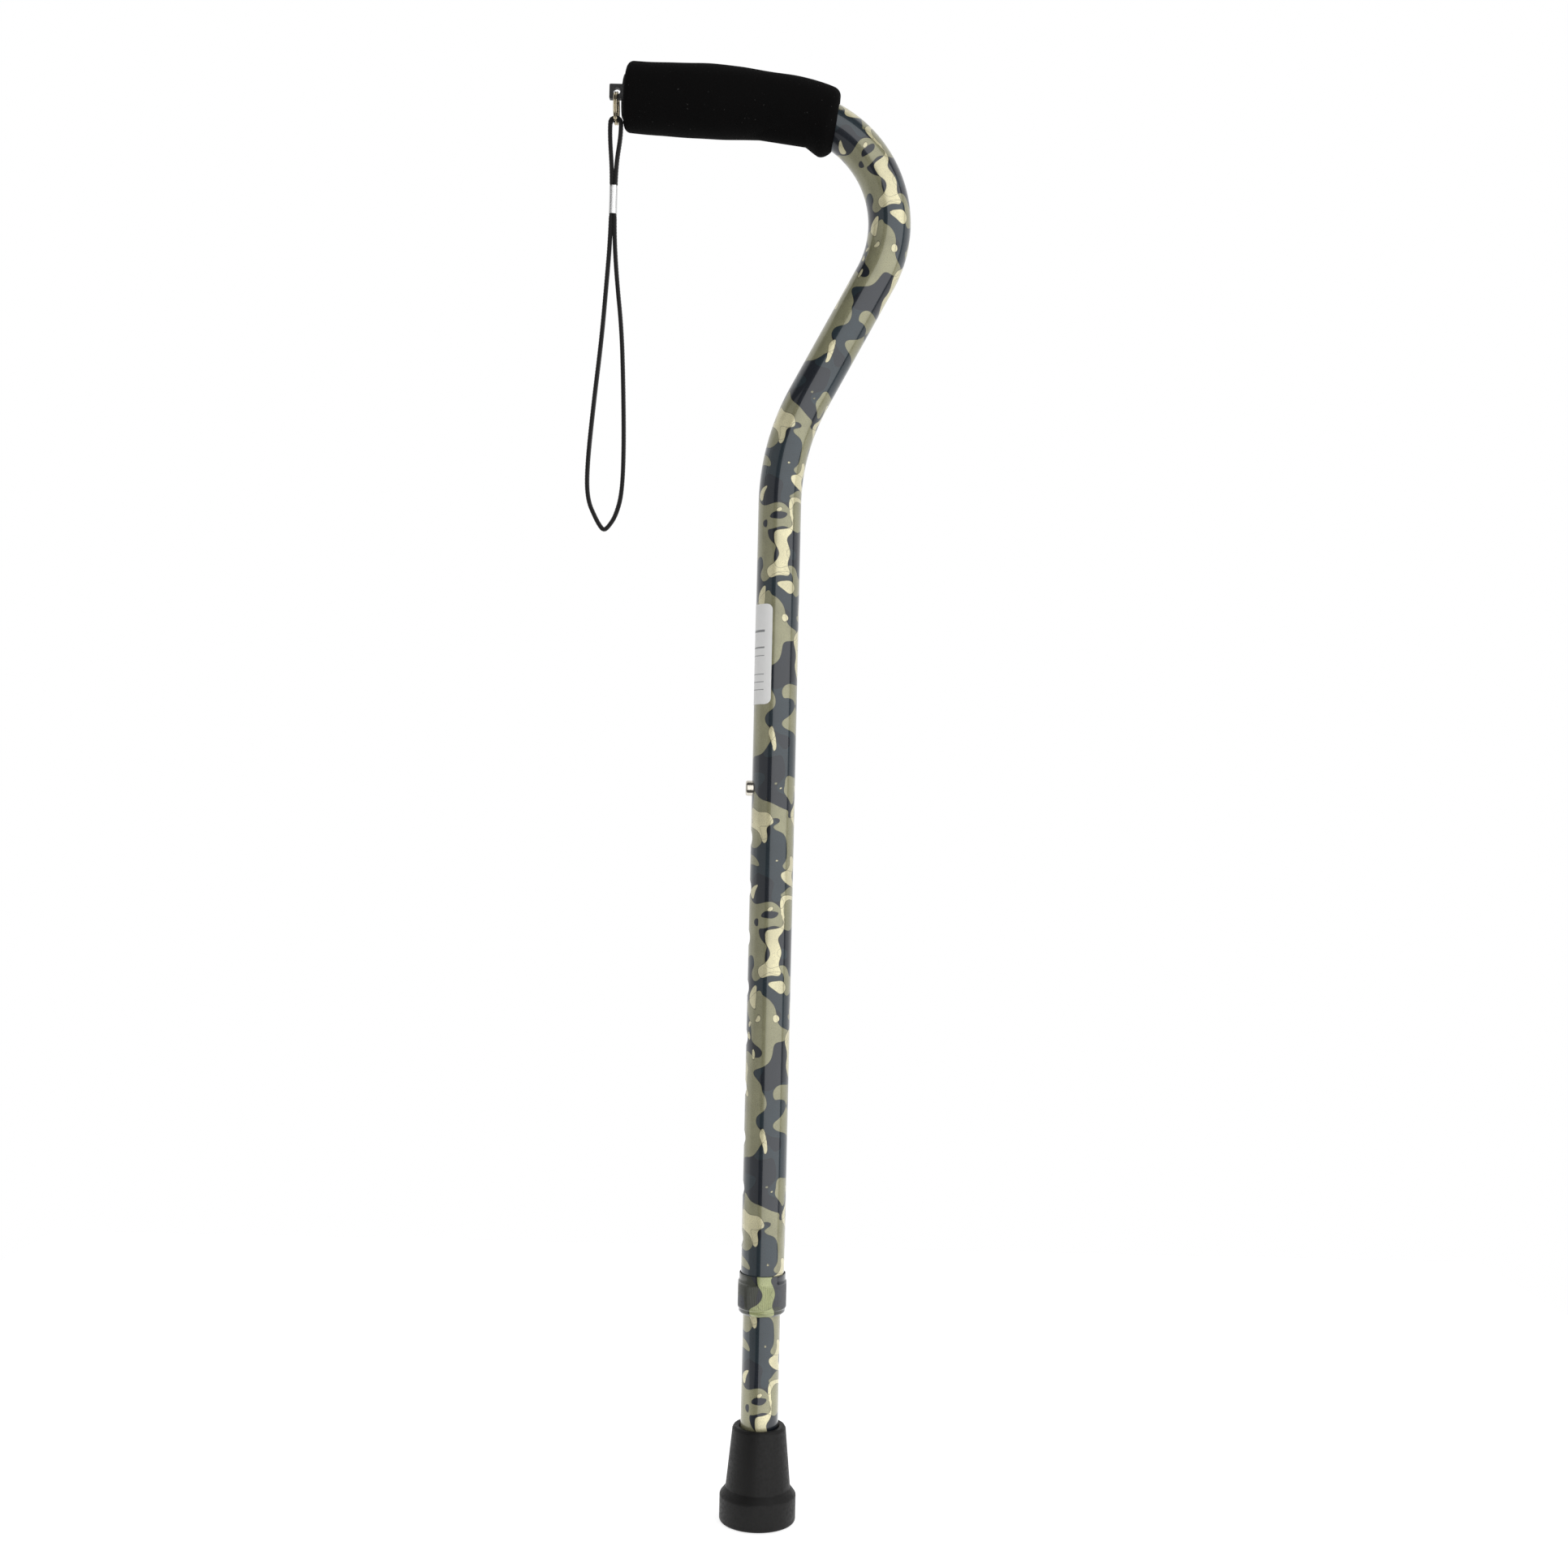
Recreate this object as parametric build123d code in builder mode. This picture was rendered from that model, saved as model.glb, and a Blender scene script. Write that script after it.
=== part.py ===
from build123d import *
import math
import os

# An offset walking cane, lengths in mm and angles in degrees.
# The origin is the middle of the rubber tip's ground face. +Z runs up the shaft, the handle's
# nose points to -X, and the tube is bent in the plane y = 0.

# Outer tube: a straight shaft, a gentle bend to +X and a large bend back over the shaft.
tube_radius = 11.0
tube_bore = 9.87
tube_bottom = 118.0
lower_bend_height = 545.9
lower_bend_turn = 27.7
lower_bend_radius = 119.5
handle_bend_radius = 59.2
handle_rise = 3.8
nose_x = -84.4
nose_z = 726.8

# Height adjustment, in one-inch steps.
hole_count = 10
hole_pitch = 25.4
hole_radius = 4.15
button_height = 370.0
button_radius = 3.9
button_proud = 3.2
button_edge = 1.2
button_flange_radius = 4.7
button_flange_face = 6.2
flange_thickness = 0.5
inner_hole_radius = 4.0

# Inner tube
inner_radius = 9.525
inner_bore = 8.325
inner_bottom = 17.0
inner_top = 398.0

# V-shaped spring strip behind the button
strip_thickness = 0.6
strip_width = 6.0
fold_z = 340.0
fold_radius = 2.5
fold_half_width = 2.4
leg_bend_radius = 6.0
leg_bend_drop = 8.0
strip_top = 378.0
strip_back_x = 7.35

# Rubber tip
tip_radius = 19.25
tip_flange_height = 14.2
tip_shoulder_radius = 16.35
tip_shoulder_height = 17.8
tip_neck_radius = 13.55
tip_neck_height = 46.0
tip_height = 47.6
tip_top_edge = 1.0
tip_foot_edge = 1.2
shoulder_inset = 1.8
shoulder_rise = 1.0
tread_radii = (5.0, 9.5, 14.0)
tread_width = 2.0
tread_depth = 1.4
washer_thickness = 1.5

# Locking collar, the bushing that it screws on and the split cone that it squeezes
collar_bottom = 104.0
collar_top = 124.4
collar_radius = 12.35
lip_radius = 11.8
lip_height = 3.2
lip_slope = 0.4
collar_floor = 2.0
collar_bore_clearance = 0.25
collar_foot_inset = 1.6
collar_foot_rise = 1.0
collar_waist_inset = 0.45
collar_waist_rise = 3.0
thread_radius = 11.0
thread_clearance = 0.08
bushing_bottom = 108.0
bushing_stem_top = 136.0
bushing_clearance = 0.07
stem_clearance = 0.02
seat_depth = 0.2
cone_bottom = 106.1
cone_top = 110.6
cone_base_radius = 10.55
cone_tip_radius = 9.95
cone_clearance = 0.1
cone_bore = 9.6
cone_slit = 1.6

# Foam grip: a sleeve on the handle that ends part of the way round the large bend
foam_radius = 18.1
foam_end_x = 23.8
foam_end_z = 715.0
foam_end_tilt = 11.5
foam_edge = 4.0

# End cap and its lug, a small upright plate with a hole across it
cap_thickness = 1.2
stem_radius = 9.8
stem_length = 16.0
lug_x = -89.2
lug_z = 729.2
lug_end_x = -93.0
lug_height = 7.7
lug_corner = 0.6
lug_half_thickness = 1.4
lug_hole_radius = 1.85

# Split ring, two turns of wire side by side, hung in the lug's hole
wire_radius = 0.55
wire_half_pitch = 0.5
ring_top = 728.4
ring_bottom = 712.85

# Wrist strap: flat braid, folded through the ring and gathered in a metal sleeve
strap_thickness = 1.7
strap_width = 5.0
crimp_x = -89.7
crimp_bottom = 664.9
crimp_top = 679.7
crimp_wall = 0.3
crimp_clearance = 0.1
crimp_corner = 0.7
strap_lift = 1.6
corner_share = 0.45
strand_offset = 0.87

# Label wrapped round the side that the holes are on, angles from -Y towards -X
label_bottom = 413.0
label_top = 465.0
label_thickness = 0.15
label_first_angle = 8.4
label_last_angle = 216.4


def rises(angle):
    """The direction that runs at an angle above -X, in the plane y = 0."""
    return (-math.cos(math.radians(angle)), math.sin(math.radians(angle)))


def line_corner():
    """Where the slanted part of the tube and the handle's straight part would meet."""
    slant = 1 / math.tan(math.radians(lower_bend_turn))
    fall = math.tan(math.radians(handle_rise))
    x = (nose_z + nose_x * fall - lower_bend_height) / (slant + fall)
    return (x, lower_bend_height + slant * x)


def save(part, name):
    part.label = name
    export_step(part, f"parts/{name}.step")


os.makedirs("parts", exist_ok=True)
corner = line_corner()
along_x, along_z = rises(handle_rise)
nose_plane = Plane(origin=(nose_x, 0, nose_z), x_dir=(0, 1, 0), z_dir=(along_x, 0, along_z))
ring_center_z = (ring_top + ring_bottom) / 2
hole_row = Plane(
    origin=(0, 0, button_height - hole_pitch * (hole_count - 1) / 2),
    x_dir=(0, 0, 1),
    z_dir=(-1, 0, 0),
)
button_plane = Plane(origin=(0, 0, button_height), x_dir=(0, 0, 1), z_dir=(-1, 0, 0))

# Outer tube, swept along its bent centreline, with a row of holes through one wall
with BuildPart() as outer_tube:
    with BuildLine(Plane.XZ) as tube_line:
        FilletPolyline(
            (0, tube_bottom),
            (0, lower_bend_height),
            corner,
            (nose_x, nose_z),
            radius=(lower_bend_radius, handle_bend_radius),
        )
    with BuildSketch(Plane.XY.offset(tube_bottom)):
        Circle(tube_radius)
        Circle(tube_bore, mode=Mode.SUBTRACT)
    sweep(path=tube_line.line)
    with BuildSketch(hole_row):
        with GridLocations(hole_pitch, 1, hole_count, 1):
            Circle(hole_radius)
    extrude(amount=tube_radius + 1, mode=Mode.SUBTRACT)
save(outer_tube.part, "outer_tube")

# Foam grip, swept along the handle and cut off at a slant part of the way round the bend
with BuildPart() as foam_grip:
    slant_x = math.sin(math.radians(lower_bend_turn))
    slant_z = math.cos(math.radians(lower_bend_turn))
    turn = math.radians(180 - handle_rise - (90 - lower_bend_turn))
    back = handle_bend_radius * math.tan(turn / 2) + 1
    with BuildLine(Plane.XZ) as grip_line:
        FilletPolyline(
            (corner[0] - back * slant_x, corner[1] - back * slant_z),
            corner,
            (nose_x, nose_z),
            radius=handle_bend_radius,
        )
    with BuildSketch(Plane(origin=grip_line.line @ 0, z_dir=grip_line.line % 0)):
        Circle(foam_radius)
        Circle(tube_radius, mode=Mode.SUBTRACT)
    sweep(path=grip_line.line)
    tilt = math.radians(foam_end_tilt)
    split(
        bisect_by=Plane(
            origin=(foam_end_x, 0, foam_end_z),
            z_dir=(-math.cos(tilt), 0, math.sin(tilt)),
        )
    )
    nose_edge = foam_grip.edges().filter_by(GeomType.CIRCLE).sort_by(Axis.X)
    nose_rim = [e for e in nose_edge if abs(e.radius - foam_radius) < 0.01][0]
    fillet(nose_rim, radius=foam_edge)
save(foam_grip.part, "foam_grip")

# End cap: a disc on the tube's end, a stem in its bore and a lug for the ring
with BuildPart() as end_cap:
    with BuildSketch(nose_plane):
        Circle(tube_radius)
    extrude(amount=cap_thickness)
    with BuildSketch(nose_plane):
        Circle(stem_radius)
    extrude(amount=-stem_length)
    with BuildSketch(Plane.XZ):
        with Locations(((lug_end_x + nose_x) / 2, lug_z)):
            RectangleRounded(nose_x - lug_end_x, lug_height, lug_corner)
    extrude(amount=lug_half_thickness, both=True)
    with BuildSketch(Plane.XZ):
        with Locations((lug_x, lug_z)):
            Circle(lug_hole_radius)
    extrude(amount=2 * lug_half_thickness, both=True, mode=Mode.SUBTRACT)
save(end_cap.part, "end_cap")

# Split ring, its plane across the handle, seen edge-on from the side
with BuildPart() as split_ring:
    with BuildSketch(Plane(origin=(lug_x, 0, ring_center_z), x_dir=(1, 0, 0), z_dir=(0, -1, 0))):
        with Locations(
            (-wire_half_pitch, (ring_top - ring_bottom) / 2),
            (wire_half_pitch, (ring_top - ring_bottom) / 2),
        ):
            Circle(wire_radius)
    revolve(axis=Axis((lug_x, 0, ring_center_z), (1, 0, 0)))
save(split_ring.part, "split_ring")

# Wrist strap: one flat braid. It starts in the sleeve, runs down round the wrist loop, up
# through the sleeve, over the bottom of the ring and back down into the sleeve.
sleeve_left = crimp_x - strand_offset
sleeve_right = crimp_x + strand_offset
loop_top = ring_bottom + strap_lift + strap_thickness / 2
strap_route = (
    (sleeve_left, 672.0),
    (sleeve_left - 0.05, 654.0),
    (-92.2, 627.0),
    (-93.9, 600.0),
    (-97.0, 568.0),
    (-99.7, 534.0),
    (-99.2, 517.0),
    (-94.6, 507.0),
    (-91.9, 502.6),
    (-90.1, 501.0),
    (-87.8, 503.0),
    (-84.3, 508.6),
    (-81.4, 520.0),
    (-80.9, 542.0),
    (-82.0, 575.0),
    (-83.6, 605.0),
    (-86.9, 632.0),
    (sleeve_right + 0.04, 656.0),
    (sleeve_right, 680.0),
    (-88.4, 693.0),
    (-86.9, 704.0),
    (-86.6, 710.0),
    (-86.6, loop_top),
    (-92.1, loop_top),
    (-92.3, 709.5),
    (-91.9, 701.5),
    (-90.9, 690.0),
    (sleeve_left, 680.5),
    (sleeve_left + 0.05, 672.1),
)


def corner_radii(route):
    """The radius for each corner, so that its arc takes up a share of the shorter run."""
    radii = []
    for before, here, after in zip(route, route[1:], route[2:]):
        run_in = Vector(*here) - Vector(*before)
        run_out = Vector(*after) - Vector(*here)
        half_turn = math.radians(run_in.get_angle(run_out)) / 2
        radii.append(corner_share * min(run_in.length, run_out.length) / math.tan(half_turn))
    return radii


strap_radii = corner_radii(strap_route)
with BuildPart() as wrist_strap:
    with BuildLine(Plane.XZ) as strap_line:
        FilletPolyline(*strap_route, radius=strap_radii)
    with BuildSketch(
        Plane(origin=strap_line.line @ 0, x_dir=(0, 1, 0), z_dir=strap_line.line % 0)
    ):
        Rectangle(strap_width, strap_thickness)
    sweep(path=strap_line.line)
save(wrist_strap.part, "wrist_strap")
print("strap length", round(strap_line.wires()[0].length, 1))

# Metal sleeve pressed flat round both strands
with BuildPart() as strap_crimp:
    inside_x = 2 * (strand_offset + crimp_clearance) + strap_thickness
    inside_y = strap_width + 2 * crimp_clearance
    with BuildSketch(Plane.XY.offset(crimp_bottom)):
        with Locations((crimp_x, 0)):
            RectangleRounded(inside_x + 2 * crimp_wall, inside_y + 2 * crimp_wall, crimp_corner)
            Rectangle(inside_x, inside_y, mode=Mode.SUBTRACT)
    extrude(amount=crimp_top - crimp_bottom)
save(strap_crimp.part, "strap_crimp")

# Label, a thin sticker wrapped round the shaft
with BuildPart() as label:
    with BuildSketch(Plane.XZ):
        with Locations((tube_radius + label_thickness / 2, (label_bottom + label_top) / 2)):
            Rectangle(label_thickness, label_top - label_bottom)
    revolve(axis=Axis.Z, revolution_arc=label_last_angle - label_first_angle)
label_part = label.part.rotate(Axis.Z, -90 - label_last_angle)
save(label_part, "label")

# Inner tube, with one hole for the button
with BuildPart() as inner_tube:
    with BuildSketch(Plane.XY.offset(inner_bottom)):
        Circle(inner_radius)
        Circle(inner_bore, mode=Mode.SUBTRACT)
    extrude(amount=inner_top - inner_bottom)
    with BuildSketch(button_plane):
        Circle(inner_hole_radius)
    extrude(amount=inner_radius + 1, mode=Mode.SUBTRACT)
save(inner_tube.part, "inner_tube")

# Snap button: a domed stud with a flange that stops it from leaving the inner tube
with BuildPart() as snap_button:
    with BuildSketch(button_plane.offset(button_flange_face)):
        Circle(button_flange_radius)
    extrude(amount=flange_thickness)
    with BuildSketch(button_plane.offset(button_flange_face)):
        Circle(button_radius)
    extrude(amount=tube_radius + button_proud - button_flange_face)
    fillet(snap_button.edges().sort_by(Axis.X)[0], radius=button_edge)
save(snap_button.part, "snap_button")

# Button spring: a strip folded to a V, one leg behind the button and one on the far wall
with BuildPart() as button_spring:
    front_x = -button_flange_face + strip_thickness / 2
    with BuildLine(Plane.XZ) as strip_line:
        FilletPolyline(
            (front_x, strip_top),
            (front_x, button_height - leg_bend_drop),
            (-fold_half_width, fold_z),
            (fold_half_width, fold_z),
            (strip_back_x, button_height - leg_bend_drop),
            (strip_back_x, strip_top),
            radius=(leg_bend_radius, fold_radius, fold_radius, leg_bend_radius),
        )
    with BuildSketch(
        Plane(origin=strip_line.line @ 0, x_dir=(0, 1, 0), z_dir=strip_line.line % 0)
    ):
        Rectangle(strip_width, strip_thickness)
    sweep(path=strip_line.line)
save(button_spring.part, "button_spring")

# Rubber tip: a wide foot, a cone up to the neck and a blind socket for the inner tube
with BuildPart() as rubber_tip:
    with BuildSketch(Plane.XZ):
        with BuildLine():
            Polyline(
                (0, 0),
                (tip_radius, 0),
                (tip_radius, tip_flange_height),
                (tip_radius - shoulder_inset, tip_flange_height + shoulder_rise),
                (tip_shoulder_radius, tip_shoulder_height),
                (tip_neck_radius, tip_neck_height),
                (tip_neck_radius - tip_top_edge, tip_height),
                (inner_radius, tip_height),
                (inner_radius, inner_bottom - washer_thickness),
                (0, inner_bottom - washer_thickness),
                (0, 0),
            )
        make_face()
    revolve(axis=Axis.Z)
    with BuildSketch():
        for radius in tread_radii:
            Circle(radius + tread_width / 2)
            Circle(radius - tread_width / 2, mode=Mode.SUBTRACT)
    extrude(amount=tread_depth, mode=Mode.SUBTRACT)
    rim = rubber_tip.edges().filter_by(GeomType.CIRCLE)
    fillet([e for e in rim if abs(e.radius - tip_radius) < 0.01], radius=tip_foot_edge)
save(rubber_tip.part, "rubber_tip")

# Steel washer that keeps the inner tube from cutting through the tip
with BuildPart() as tip_washer:
    with BuildSketch(Plane.XY.offset(inner_bottom - washer_thickness)):
        Circle(inner_radius)
    extrude(amount=washer_thickness)
save(tip_washer.part, "tip_washer")

# Threaded bushing: a thin stem in the outer tube's bore, a threaded body below the tube's end
# and a conical seat in its mouth. The thread is drawn as its crest cylinder.
bushing_bore = inner_radius + bushing_clearance
with BuildPart() as threaded_bushing:
    with BuildSketch(Plane.XZ):
        with BuildLine():
            Polyline(
                (bushing_bore, bushing_stem_top),
                (tube_bore - stem_clearance, bushing_stem_top),
                (tube_bore - stem_clearance, tube_bottom),
                (thread_radius, tube_bottom),
                (thread_radius, bushing_bottom),
                (cone_base_radius + cone_clearance, bushing_bottom),
                (cone_tip_radius + cone_clearance, cone_top + seat_depth),
                (bushing_bore, cone_top + seat_depth),
                (bushing_bore, bushing_stem_top),
            )
        make_face()
    revolve(axis=Axis.Z)
save(threaded_bushing.part, "threaded_bushing")

# Clamp ring: a split cone between the collar's floor and the bushing's seat
with BuildPart() as clamp_ring:
    with BuildSketch(Plane.XZ):
        with BuildLine():
            Polyline(
                (cone_bore, cone_bottom),
                (cone_base_radius, cone_bottom),
                (cone_base_radius, bushing_bottom),
                (cone_tip_radius, cone_top),
                (cone_bore, cone_top),
                (cone_bore, cone_bottom),
            )
        make_face()
    revolve(axis=Axis.Z)
    with BuildSketch(Plane.XY.offset(cone_bottom)):
        with Locations((0, cone_base_radius)):
            Rectangle(cone_slit, 4)
    extrude(amount=cone_top - cone_bottom, mode=Mode.SUBTRACT)
save(clamp_ring.part, "clamp_ring")

# Locking collar: a ring nut with a rounded bottom, a narrower lip at its top and a floor
# that carries the clamp ring
with BuildPart() as locking_collar:
    thread_bore = thread_radius + thread_clearance
    collar_bore = inner_radius + collar_bore_clearance
    with BuildSketch(Plane.XZ):
        with BuildLine():
            Polyline(
                (collar_bore, collar_bottom),
                (collar_radius - collar_foot_inset, collar_bottom),
                (collar_radius - collar_waist_inset, collar_bottom + collar_foot_rise),
                (collar_radius, collar_bottom + collar_waist_rise),
                (collar_radius, collar_top - lip_height),
                (lip_radius, collar_top - lip_height + lip_slope),
                (lip_radius, collar_top),
                (thread_bore, collar_top),
                (thread_bore, collar_bottom + collar_floor),
                (collar_bore, collar_bottom + collar_floor),
                (collar_bore, collar_bottom),
            )
        make_face()
    revolve(axis=Axis.Z)
save(locking_collar.part, "locking_collar")
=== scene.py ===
import math

import bpy
import numpy as np
from mathutils import Matrix, Vector


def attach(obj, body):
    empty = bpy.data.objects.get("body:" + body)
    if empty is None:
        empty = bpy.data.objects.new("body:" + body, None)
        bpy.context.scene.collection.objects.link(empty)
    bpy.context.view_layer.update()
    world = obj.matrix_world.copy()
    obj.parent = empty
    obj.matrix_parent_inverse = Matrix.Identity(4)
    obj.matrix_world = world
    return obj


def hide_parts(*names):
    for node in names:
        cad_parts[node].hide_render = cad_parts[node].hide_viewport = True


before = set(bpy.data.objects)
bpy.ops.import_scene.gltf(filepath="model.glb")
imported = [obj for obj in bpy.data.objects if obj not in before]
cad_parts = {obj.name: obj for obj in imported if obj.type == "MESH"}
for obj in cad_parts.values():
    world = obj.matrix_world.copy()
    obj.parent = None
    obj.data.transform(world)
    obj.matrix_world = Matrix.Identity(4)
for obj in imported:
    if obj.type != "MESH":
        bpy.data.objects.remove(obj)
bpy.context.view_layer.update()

# Lengths are in millimetres and angles in degrees until a mesh is made, which is in metres.
# The shaft stands on +Z, the handle's nose points to -X and the camera looks along +Y.
MM = 0.001

# ------------------------------------------------------------------ camera

LENS_MM = 41.0
CAMERA_AT = (5.36, -914.4, 345.4)
CAMERA_PITCH = 1.7
CAMERA_ROLL = 1.28


def make_camera():
    data = bpy.data.cameras.new("camera")
    data.lens = LENS_MM
    data.sensor_width = 36.0
    data.clip_start = 0.01
    camera = bpy.data.objects.new("camera", data)
    pitch, roll = math.radians(CAMERA_PITCH), math.radians(CAMERA_ROLL)
    level_right = Vector((1, 0, 0))
    level_up = Vector((0, -math.sin(pitch), math.cos(pitch)))
    ahead = Vector((0, math.cos(pitch), math.sin(pitch)))
    right = level_right * math.cos(roll) + level_up * math.sin(roll)
    up = level_up * math.cos(roll) - level_right * math.sin(roll)
    turn = Matrix((right, up, -ahead)).transposed().to_4x4()
    camera.matrix_world = Matrix.Translation(Vector(CAMERA_AT) * MM) @ turn
    bpy.context.collection.objects.link(camera)
    bpy.context.scene.camera = camera


make_camera()

# ------------------------------------------------------------------ mesh helpers


def add_object(name, mesh):
    piece = bpy.data.objects.new(name, mesh)
    bpy.context.collection.objects.link(piece)
    return piece


def make_mesh(name, points, faces, material, sharp=35.0):
    """A smooth-shaded object from points in millimetres, with creases over an angle."""
    mesh = bpy.data.meshes.new(name)
    mesh.from_pydata((np.asarray(points, float) * MM).tolist(), [], faces)
    mesh.validate()
    mesh.polygons.foreach_set("use_smooth", [True] * len(mesh.polygons))
    mesh.set_sharp_from_angle(angle=math.radians(sharp))
    mesh.materials.append(material)
    return add_object(name, mesh)


def grid_faces(rows, columns, closed=True):
    """Quads of a grid of rows, whose columns may close round into a ring."""
    faces = []
    for i in range(rows - 1):
        for j in range(columns if closed else columns - 1):
            k = (j + 1) % columns
            faces.append((i * columns + j, i * columns + k, (i + 1) * columns + k, (i + 1) * columns + j))
    return faces


def rounded(corners, radii, steps=6):
    """An outline of (r, z) corners with each corner rounded by its own radius."""
    points = [Vector(c) for c in corners]
    out = [points[0]]
    for i in range(1, len(points) - 1):
        before, here, after = points[i - 1], points[i], points[i + 1]
        radius = radii[i]
        if radius <= 0:
            out.append(here)
            continue
        into, away = (before - here).normalized(), (after - here).normalized()
        half = into.angle(away) / 2
        back = radius / math.tan(half)
        center = here + (into + away).normalized() * radius / math.sin(half)
        start, end = here + into * back - center, here + away * back - center
        sweep = start.angle_signed(end)
        for k in range(steps + 1):
            turn = -sweep * k / steps
            c, s = math.cos(turn), math.sin(turn)
            out.append(center + Vector((start.x * c - start.y * s, start.x * s + start.y * c)))
    out.append(points[-1])
    return out


def lathe_points(profile, segments):
    """Rings of points about Z, one for each (r, z) of a profile."""
    angles = [2 * math.pi * k / segments for k in range(segments)]
    return [(r * math.cos(a), r * math.sin(a), z) for r, z in profile for a in angles]


def lathe(name, profile, material, segments=96, sharp=35.0):
    return make_mesh(
        name, lathe_points(profile, segments), grid_faces(len(profile), segments), material, sharp
    )


def stand_for(piece, node, body):
    """The piece rides on a body in place of a CAD node."""
    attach(piece, body)
    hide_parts(node)
    return piece


# ------------------------------------------------------------------ material helpers


class Nodes:
    """A material's node tree, with short calls for the nodes that the finishes use."""

    def __init__(self, name):
        self.material = bpy.data.materials.new(name)
        self.material.use_nodes = True
        self.tree = self.material.node_tree
        self.shader = self.tree.nodes["Principled BSDF"]

    def set(self, **values):
        for key, value in values.items():
            self.shader.inputs[key.replace("_", " ")].default_value = value

    def node(self, kind, **inputs):
        made = self.tree.nodes.new(kind)
        for key, value in inputs.items():
            self.feed(made.inputs[key.replace("_", " ")], value)
        return made

    def feed(self, socket, value):
        if isinstance(value, bpy.types.NodeSocket):
            self.tree.links.new(value, socket)
        else:
            socket.default_value = value

    def object_coords(self):
        return self.node("ShaderNodeTexCoord").outputs["Object"]

    def noise(self, scale, detail=2.0, roughness=0.5, vector=None):
        made = self.node("ShaderNodeTexNoise", Scale=scale, Detail=detail, Roughness=roughness)
        self.tree.links.new(vector or self.object_coords(), made.inputs["Vector"])
        return made.outputs["Fac"]

    def ramp(self, value, low, high, to_low=0.0, to_high=1.0):
        """The value, eased from to_low at low up to to_high at high."""
        made = self.node("ShaderNodeMapRange")
        made.interpolation_type = "SMOOTHSTEP"
        self.feed(made.inputs["Value"], value)
        for socket, number in zip(
            ("From Min", "From Max", "To Min", "To Max"), (low, high, to_low, to_high)
        ):
            made.inputs[socket].default_value = number
        return made.outputs["Result"]

    def math(self, operation, first, second=0.0):
        made = self.tree.nodes.new("ShaderNodeMath")
        made.operation = operation
        self.feed(made.inputs[0], first)
        self.feed(made.inputs[1], second)
        return made.outputs["Value"]

    def mix(self, factor, first, second, blend="MIX"):
        made = self.tree.nodes.new("ShaderNodeMix")
        made.data_type = "RGBA"
        made.blend_type = blend
        self.feed(made.inputs[0], factor)
        self.feed(made.inputs[6], first)
        self.feed(made.inputs[7], second)
        return made.outputs[2]

    def attribute(self, name):
        made = self.tree.nodes.new("ShaderNodeAttribute")
        made.attribute_name = name
        return made.outputs["Fac"]

    def bump(self, height, distance, strength=1.0):
        made = self.node("ShaderNodeBump", Height=height, Distance=distance, Strength=strength)
        self.tree.links.new(made.outputs["Normal"], self.shader.inputs["Normal"])

    def color(self, value):
        self.feed(self.shader.inputs["Base Color"], value)

    def roughness(self, value):
        self.feed(self.shader.inputs["Roughness"], value)


def rgb(hex_code):
    """A linear colour, with alpha, from an sRGB hex code."""
    channels = [int(hex_code[i : i + 2], 16) / 255 for i in (0, 2, 4)]
    linear = [c / 12.92 if c <= 0.04045 else ((c + 0.055) / 1.055) ** 2.4 for c in channels]
    return (*linear, 1.0)


# ------------------------------------------------------------------ finishes

OLIVE = rgb("908e70")
KHAKI = rgb("d8d1aa")
NAVY = rgb("161d27")
SLATE = rgb("223038")
LINE = rgb("14160f")


def film_finish(name, olive=OLIVE, khaki=KHAKI, navy=NAVY, slate=SLATE):
    """Printed camouflage film under a clear coat. The print's edges come from attributes
    that hold the distance in millimetres inside the nearest patch of each colour."""
    n = Nodes(name)
    edge = 0.12
    line_width = 0.3
    cloud = n.noise(90, 3)
    grain = n.noise(3200, 2)
    navy_side, khaki_side = n.attribute("navy"), n.attribute("khaki")
    in_navy = n.ramp(navy_side, -edge, edge)
    in_khaki = n.ramp(khaki_side, -edge, edge)
    in_slate = n.ramp(n.attribute("slate"), -edge, edge)
    dark = n.mix(in_slate, navy, slate)
    print_color = n.mix(in_khaki, n.mix(in_navy, olive, dark), khaki)
    for side, depth in ((navy_side, 0.45), (khaki_side, 0.7)):
        on_line = n.ramp(n.math("ABSOLUTE", side), 0.0, line_width, depth, 0.0)
        print_color = n.mix(on_line, print_color, LINE)
    slate_line = n.ramp(n.math("ABSOLUTE", n.attribute("slate")), 0.0, line_width, 0.35, 0.0)
    print_color = n.mix(n.math("MULTIPLY", slate_line, in_navy), print_color, LINE)
    shade = n.ramp(cloud, 0.3, 0.7, 0.9, 1.08)
    sparkle = n.ramp(grain, 0.3, 0.75, 0.86, 1.2)
    tint = n.math("MULTIPLY", shade, sparkle)
    gray = n.node("ShaderNodeCombineColor", Red=tint, Green=tint, Blue=tint).outputs["Color"]
    n.color(n.mix(1.0, print_color, gray, "MULTIPLY"))
    n.set(Metallic=0.35, Coat_Weight=1.0, Coat_Roughness=0.035, Coat_IOR=1.5)
    n.roughness(n.ramp(grain, 0.2, 0.8, 0.26, 0.4))
    n.bump(n.noise(420, 2), 0.00003, 0.2)
    return n.material


def foam_finish():
    n = Nodes("foam")
    fleck = n.ramp(n.noise(900, 1), 0.74, 0.8)
    cells = n.noise(2600, 3, 0.6)
    n.color(n.mix(fleck, n.mix(n.noise(35, 3), rgb("080808"), rgb("0d0c0c")), rgb("343332")))
    n.set(Specular_IOR_Level=0.06)
    n.roughness(n.ramp(cells, 0.3, 0.7, 0.78, 0.95))
    n.bump(n.math("ADD", cells, n.noise(260, 2)), 0.00025, 0.55)
    return n.material


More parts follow.
